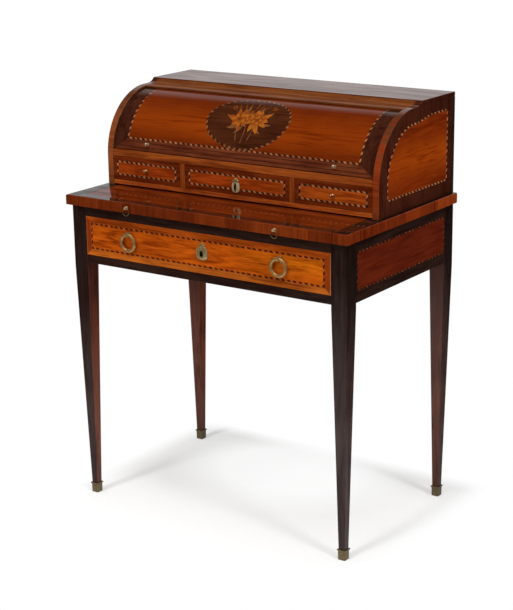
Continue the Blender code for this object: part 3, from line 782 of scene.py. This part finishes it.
def escutcheon(node, name, height, loop, beads, dirt_and_shade, bright, dark, sheen):
    """A domed plate with a keyhole, beads round its edge, and a bow with loops of a given radius over it.
    The plate is darkened round the keyhole for dirt and painted shade, over a patch of (reach to the right,
    reach up, shift up)."""
    low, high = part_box(node)
    middle = plate_middle(node, height)
    wide, tall, shift = dirt_and_shade
    brass = aged_brass(f"{name}_brass", bright, dark, sheen, 0.18,
                       (middle + Vector((0, 0, shift)), (wide, 1, tall)))
    plate = take_over(node, f"{name}_plate", brass, bow_brass, eased=0.0002)
    across, up = (high.x - low.x) / 2, height / 2
    dress(plate, lambda normal, face: face.z > middle.z + up)
    bead = math.pi * (across + up) / beads / 2 * BEAD_SHARE
    bead_y = low.y + (high.y - low.y) * BEAD_DEPTH
    ball = BOW_BALL * loop
    bow = [(-loop, up + 0.35 * loop, ball), (loop, up + 0.35 * loop, ball), (0, up + 1.1 * loop, ball)]
    rim = []
    for i in range(beads):
        turn = math.tau * i / beads
        right, rise = math.cos(turn), math.sin(turn)
        far = (abs(right) ** PLATE_FULLNESS + abs(rise) ** PLATE_FULLNESS) ** (-1 / PLATE_FULLNESS)
        rim.append(((across - bead) * far * right, (up - bead) * far * rise, bead))
    for label, balls, metal in (("beads", rim, brass), ("bow", bow, bow_brass)):
        places = []
        for right, rise, radius in balls:
            place = Matrix.Translation((middle.x + right, bead_y, middle.z + rise))
            places.append(place @ Matrix.Scale(radius, 4))
        fix(copied(bead_model(), f"{name}_{label}", places), node, metal)


escutcheon("frieze_escutcheon", "frieze_key", FRIEZE_PLATE, loop=0.004, beads=32, sheen=0.75,
           dirt_and_shade=(0.0048, 0.0076, -0.0012), bright=(0.72, 0.53, 0.24), dark=(0.15, 0.1, 0.04))


# Case. Two shaped sides, a back, a roof, a coved cornice, rails and dividers, all glued up. The front edges
# are faced with red-brown veneer, and each side has a dark border round a panel inside a line.
CASE_RAIL = (0.236, 0.0475, 0.0075)
CASE_INSIDE = (0.15, 0.045, 0.016)
CASE_RIM_COLOURS = {"left": (0.238, 0.061, 0.0158), "right": (0.234, 0.0345, 0.0062)}
CASE_RIM_SHADED_CROWN = (0.07, 0.021, 0.0085)
CASE_BORDER = (0.036, 0.0078, 0.0028)
CASE_BORDER_FRONT = (0.055, 0.011, 0.0048)
CASE_SILL = (0.335, 0.063, 0.0098)
SIDE_FIELD = (0.168, 0.0195, 0.0014)
SIDE_GLOW = (0.37, 0.056, 0.0023)
rail_wood = veneer("case_rail_wood", CASE_RAIL, X)
divider_wood = veneer("case_divider_wood", CASE_RAIL, Z)
inside_wood = veneer("case_inside_wood", CASE_INSIDE, Y)
border_wood = veneer("case_border_wood", CASE_BORDER, Z,
                     glow=(CASE_BORDER_FRONT, (0, -0.1, 0.86), (ALL, 0.36, ALL)))
sill_wood = veneer("case_sill_wood", CASE_SILL, X)
side_field = veneer("case_side_field", SIDE_FIELD, Y, 0.65, figure=0.012, length=0.12, vein=0.15,
                    glow=(SIDE_GLOW, (0, 0.1, 0.858), (1, 0.3, 0.045)))
side_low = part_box("case_side_right")[0]
fall_joint = next(joint for joint in frame["joints"] if joint["name"] == "cylinder_turn")
axis = Vector(fall_joint["pos_m"])
rim_radius = axis.y - side_low.y
case_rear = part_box("case_back")[1].y
roof_level = cad_high.z
ledge_level = axis.z + rim_radius
SIDE_BORDER = 0.0355
RISE_START = 0.004
RISE_RUN = 0.08
ARC_STEPS = 32
CORNICE_START = 0.002


def side_outline(margin):
    """The panel of a case side, which follows the edge of the side and the round of the fall."""
    inset = SIDE_BORDER - margin
    radius = rim_radius - inset
    front, foot = axis.y - radius, side_low.z + inset
    back, ledge, top = case_rear - inset, ledge_level - inset, roof_level - inset
    round_part = []
    for i in range(ARC_STEPS + 1):
        turn = math.pi / 2 * i / ARC_STEPS
        round_part.append((axis.y - radius * math.cos(turn), axis.z + radius * math.sin(turn)))
    rise = []
    for i in range(1, ARC_STEPS // 2 + 1):
        share = 2 * i / ARC_STEPS
        smooth = share * share * (3 - 2 * share)
        rise.append((axis.y + RISE_START + RISE_RUN * share, ledge + (top - ledge) * smooth))
    return [(front, foot), *round_part, *rise, (back, top), (back, foot)]


def side_faces(normal, middle):
    """The outer face with the edges of the cornice, the edges round the fall, and the inner face."""
    if abs(normal.x) < 0.6:
        return 1 if middle.y < axis.y + CORNICE_START else 0
    return 0 if normal.x * middle.x > 0 else 2


for side, sign in (("left", -1), ("right", 1)):
    node = f"case_side_{side}"
    # The rim's wood is painted darker towards the top of its round: painted shade on the faces that look up.
    rim_wood = veneer(f"case_rim_wood_{side}", CASE_RIM_SHADED_CROWN, X, 0.5, vein=0.2,
                      glow=(CASE_RIM_COLOURS[side], (0, 0, 0.82), (ALL, ALL, 0.125)))
    dress(take_over(node, f"{node}_wood", border_wood, rim_wood, inside_wood, eased=0.0018), side_faces)
    corners = side_outline(0)
    runs = [corners[:-2], corners[-3:-1], corners[-2:], [corners[-1], corners[0]]]
    panel(f"{node}_panel", node, side_outline, flat_side(node, sign), side_field, light_lozenges, runs)

for node, wood in (("case_rail_board", rail_wood), ("case_floor", sill_wood),
                   ("drawer_divider_left", divider_wood), ("drawer_divider_right", divider_wood)):
    take_over(node, f"{node}_wood", wood, eased=0.0007)

CASE_BACK = (0.027, 0.011, 0.0078)
CORNICE = (0.125, 0.033, 0.008)
ROOF = (0.075, 0.014, 0.0048)
back_wood = veneer("case_back_veneer", CASE_BACK, Z, streak=0.0013, figure=0.016)
cornice_wood = veneer("cornice_moulding_wood", CORNICE, X, 0.5, polish=0.25)
roof_wood = veneer("roof_wood", ROOF, X, gloss=0.09)
take_over("case_back", "case_back_wood", back_wood)
take_over("cornice_moulding", "cornice_wood", cornice_wood, eased=0.0004)
roof = take_over("case_roof", "case_roof_wood", roof_wood, border_wood, eased=0.0009)
dress(roof, lambda normal, middle: 0 if normal.z > 0.6 else 1)


# Small drawers. Three under the fall, each with a dark border, a line of lozenges and an orange field.
# The boxes are thin oak. The outer two and the fall have screwed-in brass knobs, the middle one a keyhole.
SMALL_BORDER = 0.0125
SMALL_FIELD = (0.268, 0.0355, 0.0034)
SMALL_EDGE = (0.125, 0.0172, 0.0028)
SMALL_GLOW = (0.355, 0.062, 0.0056)
SMALL_PLATE = 0.025
SMALL_KEY_RISE, SMALL_KEY_DROP = 0.006, 0.015
small_field = veneer("small_drawer_field", SMALL_FIELD, X, figure=0.009, length=0.1,
                     glow=(SMALL_GLOW, (0.27, -0.1, 0.79), (0.16, 1, 0.1)))
small_border = veneer("small_drawer_border", SMALL_EDGE, X)
for side in ("left", "middle", "right"):
    node = f"drawer_{side}_front"
    take_over(node, f"{node}_wood", small_border, eased=0.001)
    outline = front_outline(node, SMALL_BORDER)
    layers = panel(f"drawer_{side}_panel", node, outline, flat_front(node), small_field, light_lozenges)
    take_over(f"drawer_{side}_tray", f"drawer_{side}_box", oak_along[Y], eased=0.0005)
    if side == "middle":
        plate = "drawer_middle_escutcheon"
        small_key = plate_middle(plate, SMALL_PLATE) + Vector((0, 0, SMALL_KEY_RISE))
        for layer in layers:
            pierce(layer, small_key, SMALL_KEY_DROP)
        escutcheon(plate, "small_key", SMALL_PLATE, loop=0.0042, beads=26, sheen=0.55,
                   dirt_and_shade=(0.0034, 0.0104, 0.0004), bright=(0.94, 0.75, 0.42), dark=(0.32, 0.23, 0.115))

KNOB_EASED = 0.0002
knob_brass = aged_brass("knob_brass", (0.8, 0.43, 0.18), (0.28, 0.145, 0.055), 0.85, 0.12)
fall_knob_brass = aged_brass("fall_knob_brass", (0.95, 0.72, 0.43), (0.38, 0.26, 0.13), 0.85, 0.12)
for node, metal in (("drawer_left_knob", knob_brass), ("drawer_right_knob", knob_brass),
                    ("cylinder_knob_left", fall_knob_brass), ("cylinder_knob_right", fall_knob_brass)):
    knob = borrow(node, f"{node}_brass")
    ease(knob, KNOB_EASED)
    round_off(knob, 1)
    stand_for(knob, node, metal)


# Cylinder fall. A curved board, veneered with the grain level, that runs in grooves and turns into the case.
# A dark border and a line of lozenges run round an orange field with an oval in the middle.
FALL_SIDE_BORDER = 0.039
FALL_MARGIN = 0.001
FALL_EDGE = math.radians(7.2)
FALL_FOOT = math.radians(17.7)
FALL_HEAD = math.radians(84.8)
FALL_BANDS = 40
fall_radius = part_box("cylinder_fall")[1].z - axis.z
case_inner = side_low.x


def on_fall(u, v, lift):
    """Lays a drawing of (right, up along the curve, lift) on the fall."""
    radius, turn = fall_radius + lift, v / fall_radius
    return Vector((u, axis.y - radius * math.cos(turn), axis.z + radius * math.sin(turn)))


FALL_FIELD = (0.085, 0.0105, 0.0014)
FALL_GLOW = (0.192, 0.0275, 0.0016)
FALL_BORDER = (0.036, 0.0085, 0.004)
FALL_FOOT_BORDER = (0.105, 0.023, 0.008)
fall_field = veneer("fall_field", FALL_FIELD, X, 0.55, streak=0.0016, figure=0.009, length=0.16, vein=0.06,
                    polish=0.75, glow=(FALL_GLOW, (0, -0.05, 0.908), (0.9, 1, 0.047)))
fall_lozenges = boxwood("fall_lozenges", (0.25, 0.094, 0.038))
fall_border = veneer("fall_border", FALL_BORDER, Z, polish=0.75)
foot_border = veneer("fall_foot_border", FALL_FOOT_BORDER, X, polish=0.75)
fall = borrow("cylinder_fall", "cylinder_fall_wood")
only(fall)
bpy.ops.object.shade_smooth_by_angle(angle=SHARP)
stand_for(fall, "cylinder_fall", fall_border)
fall_edge, fall_foot, fall_head = (turn * fall_radius for turn in (FALL_EDGE, FALL_FOOT, FALL_HEAD))
foot_reach = case_inner - FALL_MARGIN
foot = [(-foot_reach, fall_edge), (foot_reach, fall_edge),
        (foot_reach - FALL_SIDE_BORDER, fall_foot), (FALL_SIDE_BORDER - foot_reach, fall_foot)]
fix(sheet("fall_foot_border", foot, LINE_LIFT / 2, on_fall, 8), "cylinder_fall", foot_border)
field_reach = case_inner - FALL_SIDE_BORDER
outline = rectangle(-field_reach, field_reach, fall_foot, fall_head)
panel("cylinder_panel", "cylinder_fall", outline, on_fall, fall_field, fall_lozenges, bands=FALL_BANDS)


# Oval. A dark ground let into the middle of the fall, edged with lozenges.
# A spray of flowers and leaves is cut from pale woods, shaded in hot sand, and let into the ground.
OVAL_WIDTH = 0.221
OVAL_HEIGHT = 0.144
OVAL_PLACE = math.radians(46.75)
OVAL_STEPS = 72
oval_middle = OVAL_PLACE * fall_radius


def oval(margin):
    """The oval's outline, which may be grown by a margin."""
    points = []
    for i in range(OVAL_STEPS):
        turn = math.tau * i / OVAL_STEPS
        points.append(((OVAL_WIDTH / 2 + margin) * math.cos(turn),
                       oval_middle + (OVAL_HEIGHT / 2 + margin) * math.sin(turn)))
    return points


def on_oval(u, v, lift):
    """Lays a drawing on the oval, which lies over the field of the fall."""
    return on_fall(u, v, lift + FIELD_LIFT)


OVAL_GROUND = (0.047, 0.0116, 0.0038)
ground_wood = veneer("oval_ground", OVAL_GROUND, X, 0.5, polish=0.75)
oval_lozenges = boxwood("oval_lozenges", (0.16, 0.062, 0.025))
ring = oval(0)
panel("oval", "cylinder_fall", oval, on_oval, ground_wood, oval_lozenges, [ring + ring[:1]], FALL_BANDS)


def sand_shaded(name, tip, root):
    """A petal or leaf of pale wood, scorched darker at its root in hot sand, with a darker rib."""
    finish = polished(name, 0.75)
    drawing = finish.add("TexCoord", {}, {}, "UV")
    along = finish.add("SeparateXYZ", {}, {0: drawing}, X)
    across = finish.add("SeparateXYZ", {}, {0: drawing}, Y)
    grain = finish.spread(finish.noise([420, 420, 900], 3.0), 0.32, 0.68)
    rib = 1 - finish.spread(across.math("ABSOLUTE", across - 0.5), 0.02, 0.09)
    colour = finish.blend(root, tip, finish.spread(along + (grain - 0.5) * 0.35, 0.05, 0.7))
    colour = finish.blend(colour, root, rib * 0.45 + grain * 0.25)
    finish.show(Base_Color=colour, Roughness=0.34 + grain * 0.08)
    return finish.material


PETAL_STEPS = 12
PETAL_BANDS = 3


def cut_petal(name, root, angle, length, width, lift, bow, fullness):
    """A pointed petal or leaf, cut as one sheet and let into the oval. Its UV map runs from root to tip."""
    shares = [i / PETAL_STEPS for i in range(PETAL_STEPS + 1)]
    spine = [(length * share, bow * math.sin(math.pi * share)) for share in shares]
    swell = [width / 2 * math.sin(math.pi * share ** fullness) for share in shares]
    upper = [(along, off + half) for (along, off), half in zip(spine, swell)]
    lower = [(along, off - half) for (along, off), half in zip(spine, swell)]
    turn = Matrix.Translation((*root, 0)) @ Matrix.Rotation(angle, 4, "Z")
    points = [(turn @ Vector((a, b, 0)))[:2] for a, b in upper + lower[-2:0:-1]]
    piece = blank(name, points, lift, PETAL_BANDS)
    drawing = piece.data.uv_layers.new(name="petal")
    back = turn.inverted()
    for corner in piece.data.loops:
        along, across, _ = back @ piece.data.vertices[corner.vertex_index].co
        middle = bow * math.sin(math.pi * along / length)
        drawing.data[corner.index].uv = (along / length, 0.5 + (across - middle) / width)
    return bend(piece, on_oval)


def gather(name, pieces, wood):
    """Joins cut sheets into one piece of the spray."""
    piece = join(pieces)
    piece.name = name
    fix(piece, "cylinder_fall", wood)


gold = sand_shaded("golden_petal", (0.37, 0.104, 0.009), (0.11, 0.024, 0.0045))
orange = sand_shaded("orange_petal", (0.265, 0.058, 0.007), (0.08, 0.016, 0.0042))
amber = sand_shaded("amber_petal", (0.22, 0.053, 0.0075), (0.065, 0.014, 0.0045))
tan = sand_shaded("tan_leaf", (0.175, 0.066, 0.02), (0.06, 0.018, 0.008))
rust = sand_shaded("rust_sprig", (0.15, 0.04, 0.008), (0.055, 0.015, 0.006))
stem_wood = boxwood("pale_stem", (0.17, 0.066, 0.026))
random.seed(11)
SPRAY_LIFT = 0.0003
LAYER = 0.00001
FIRST_RING = 16
RING_LAYERS = 14
MM_PER_M = 1000


def spray_place(right, up):
    """A place on the oval, given in millimetres from its middle."""
    return right / MM_PER_M, oval_middle + up / MM_PER_M


def flower(name, middle, rings):
    """An open flower: rings of pointed petals, one over another. A ring is (petals, reach, width, wood)."""
    for level, (petals, reach, width, wood) in enumerate(rings):
        pieces = []
        for i in range(petals):
            turn = math.tau * (i + 0.5 * level) / petals + random.uniform(-0.16, 0.16)
            length = reach * random.uniform(0.72, 1.15) / MM_PER_M
            lift = SPRAY_LIFT + LAYER * (FIRST_RING + RING_LAYERS * level + i)
            pieces.append(cut_petal(
                f"{name}_{level}", spray_place(*middle), turn, length, width / MM_PER_M, lift,
                random.uniform(-0.0025, 0.0025), random.uniform(0.85, 1.25)
            ))
        gather(f"{name}_{level}", pieces, wood)


# Leaves and stems are given by root and tip in millimetres from the middle of the oval, and by width.
LEAVES = (((-10, -2), (-64, 12), 10), ((-14, 6), (-40, 40), 8), ((-2, 8), (-12, 47), 9),
          ((8, 10), (26, 46), 8), ((14, 4), (60, 30), 11), ((16, -2), (68, -8), 9),
          ((-12, -6), (-50, -24), 10), ((14, -6), (46, -32), 10), ((-6, -8), (-26, -36), 7))
STEMS = (((-14, -56), (-18, -6), 1.6), ((-1, -60), (0, 0), 1.8), ((15, -54), (22, -6), 1.6),
         ((-20, 10), (-52, 34), 1.3), ((22, 12), (52, 41), 1.3))
SPRIGS = (((-6, 12), (-30, 54), 3.2), ((-2, 14), (-17, 60), 3), ((2, 14), (3, 62), 3.4),
          ((6, 14), (19, 58), 3), ((10, 12), (37, 56), 3.2), ((-16, 8), (-46, 50), 3))
for label, shapes, wood, fullness, sway in (("sprig", SPRIGS, rust, 1.6, 0.003),
                                            ("leaf", LEAVES, tan, 0.9, 0.004),
                                            ("stem", STEMS, stem_wood, 0.4, 0.003)):
    pieces = []
    for i, (root, tip, width) in enumerate(shapes):
        length = math.dist(root, tip) / MM_PER_M
        turn = math.atan2(tip[1] - root[1], tip[0] - root[0])
        bow = sway if tip[0] < root[0] else -sway
        pieces.append(cut_petal(f"spray_{label}", spray_place(*root), turn, length, width / MM_PER_M,
                                SPRAY_LIFT + LAYER * i, bow, fullness))
    gather(f"spray_{label}s", pieces, wood)
flower("spray_left", (-23, 2), ((9, 31, 11, orange), (7, 22, 9, gold), (5, 12, 6, orange)))
flower("spray_right", (25, 3), ((9, 34, 12, gold), (7, 23, 9.5, orange), (5, 13, 6.5, gold)))
flower("spray_middle", (1, 11), ((8, 20, 7, amber), (5, 12, 6, gold)))
flower("spray_bud_left", (-53, 35), ((5, 8, 4.5, amber),))
flower("spray_bud_right", (53, 42), ((5, 9, 5, amber),))


# Pigeonholes. A thin shelf on two partitions, of the woods of the case's rails and inside.
# They are fitted between the sides of the case and seen only when the fall is open.
for part, wood in (("shelf", rail_wood), ("partition_left", inside_wood), ("partition_right", inside_wood)):
    take_over(f"pigeonhole_{part}", f"pigeonhole_{part}_wood", wood, eased=0.0005)


# Studio. A plain white floor under soft lights from the front, the right and above, before a white wall on
# the left. The floor shows white to the camera and keeps the desk's shadow round its feet: the shadow is
# painted lighter under the middle of the desk and painted out beyond it. The polish shows what is far off as
# dark, and it shows only the weak, wide lamps, which give the brass its glints.
FLOOR_REACH = 80
FLOOR_GREY = (0.8, 0.8, 0.8)
LIGHT_PAINTED_INSIDE, SHOWN_ROUND = 0.84, 0.36
SHADOW_MIDDLE, SHADOW_REACH = (-0.04, 0.16, 0), (0.33, 0.28, 1)
SHADOW_PAINTED_OUT = {X: (0.38, 0.44), Y: (0.27, 0.33)}
SHADOW_SHIFT = 0.01
PATCH_MIDDLE = (0.1, -0.8, 0)
PATCH_NEAR, PATCH_FAR = 0.2, 1.65
PATCH_LIGHT = 0.8
FAR_DARK = 0.01


def ray(nodes, kind):
    """1 for rays of one kind, and 0 for the others."""
    return nodes.add("LightPath", {}, {}, f"Is {kind} Ray")


bpy.ops.object.select_all(action="DESELECT")
bpy.ops.mesh.primitive_plane_add(size=FLOOR_REACH)
floor = bpy.context.object
floor.name = "studio_floor"
paper = bpy.data.materials.new("floor_paper")
nodes = Nodes(paper)
floor.data.materials.append(paper)
lit = nodes.add("BsdfDiffuse", {}, {"Color": FLOOR_GREY})
white = nodes.add("Emission", {}, {"Color": (1, 1, 1), "Strength": 1.0})
dark = nodes.add("Emission", {}, {"Color": (1, 1, 1), "Strength": FAR_DARK})
place = nodes.add("TexCoord", {}, {}, "Object")
# Painted light: under the middle of the desk the shadow is lifted, and beyond its edges it is painted out to
# white.
inside = nodes.spread(nodes.distance(place, SHADOW_MIDDLE, SHADOW_REACH), 1.0, 0.5)
share = inside * (LIGHT_PAINTED_INSIDE - SHOWN_ROUND) + SHOWN_ROUND
for direction, edge in SHADOW_PAINTED_OUT.items():
    far = nodes.add("SeparateXYZ", {}, {0: place}, direction) - SHADOW_SHIFT
    share = share + (1 - share) * nodes.spread(far.math("ABSOLUTE", far), *edge)
shown = ray(nodes, "Camera") * share + ray(nodes, "Glossy") + ray(nodes, "Transmission")
paper_light = nodes.add("MixShader", {}, {0: shown, 1: lit, 2: white})
distance = nodes.add("VectorMath", {"operation": "DISTANCE"}, {0: place, 1: PATCH_MIDDLE}, "Value")
patch = nodes.spread(distance, PATCH_FAR, PATCH_NEAR) * PATCH_LIGHT
seen = nodes.add("MixShader", {}, {0: ray(nodes, "Glossy") * (1 - patch), 1: paper_light, 2: dark})
nodes.feed(nodes.tree.nodes["Material Output"], {"Surface": seen})

AMBIENT = 0.42
WALL_TOWARDS = (-0.57, 0.82, 0)
WALL_EDGE = (0.5, 0.75)
WALL_TOP = (0.58, 0.71)
WALL_LIGHT = 0.64
studio = bpy.data.worlds.new("studio")
bpy.context.scene.world = studio
nodes = Nodes(studio)
towards = nodes.add("TexCoord", {}, {}, "Generated")
across = nodes.add("VectorMath", {"operation": "DOT_PRODUCT"}, {0: towards, 1: WALL_TOWARDS}, "Value")
height = nodes.add("SeparateXYZ", {}, {0: towards}, Z)
wall = nodes.spread(across, *WALL_EDGE) * (1 - nodes.spread(height, *WALL_TOP))
direct = ray(nodes, "Camera") + ray(nodes, "Transmission")
glossy = ray(nodes, "Glossy")
cast = 1 - direct - glossy
strength = direct + glossy * (wall * WALL_LIGHT + FAR_DARK) + cast * AMBIENT
nodes.feed(nodes.tree.nodes["Background"], {"Color": (1, 1, 1), "Strength": strength})


def soft_light(name, azimuth, elevation, strength, size, glint):
    """A soft light, far off, that shines towards the desk. Without a glint it doesn't show in the polish."""
    bpy.ops.object.light_add(type="SUN")
    light = bpy.context.object
    light.name = name
    light.data.energy = strength
    light.data.angle = math.radians(size)
    light.visible_glossy = glint
    light.rotation_euler = (math.radians(90 - elevation), 0, math.radians(azimuth))


soft_light("key_light", azimuth=-8, elevation=52, strength=1.1, size=9, glint=False)
soft_light("key_glow", azimuth=-5, elevation=52, strength=0.4, size=22, glint=True)
soft_light("fill_light", azimuth=72, elevation=52, strength=0.85, size=9, glint=False)
soft_light("fill_glow", azimuth=72, elevation=52, strength=0.3, size=26, glint=True)
soft_light("top_light", azimuth=0, elevation=84, strength=0.9, size=34, glint=True)
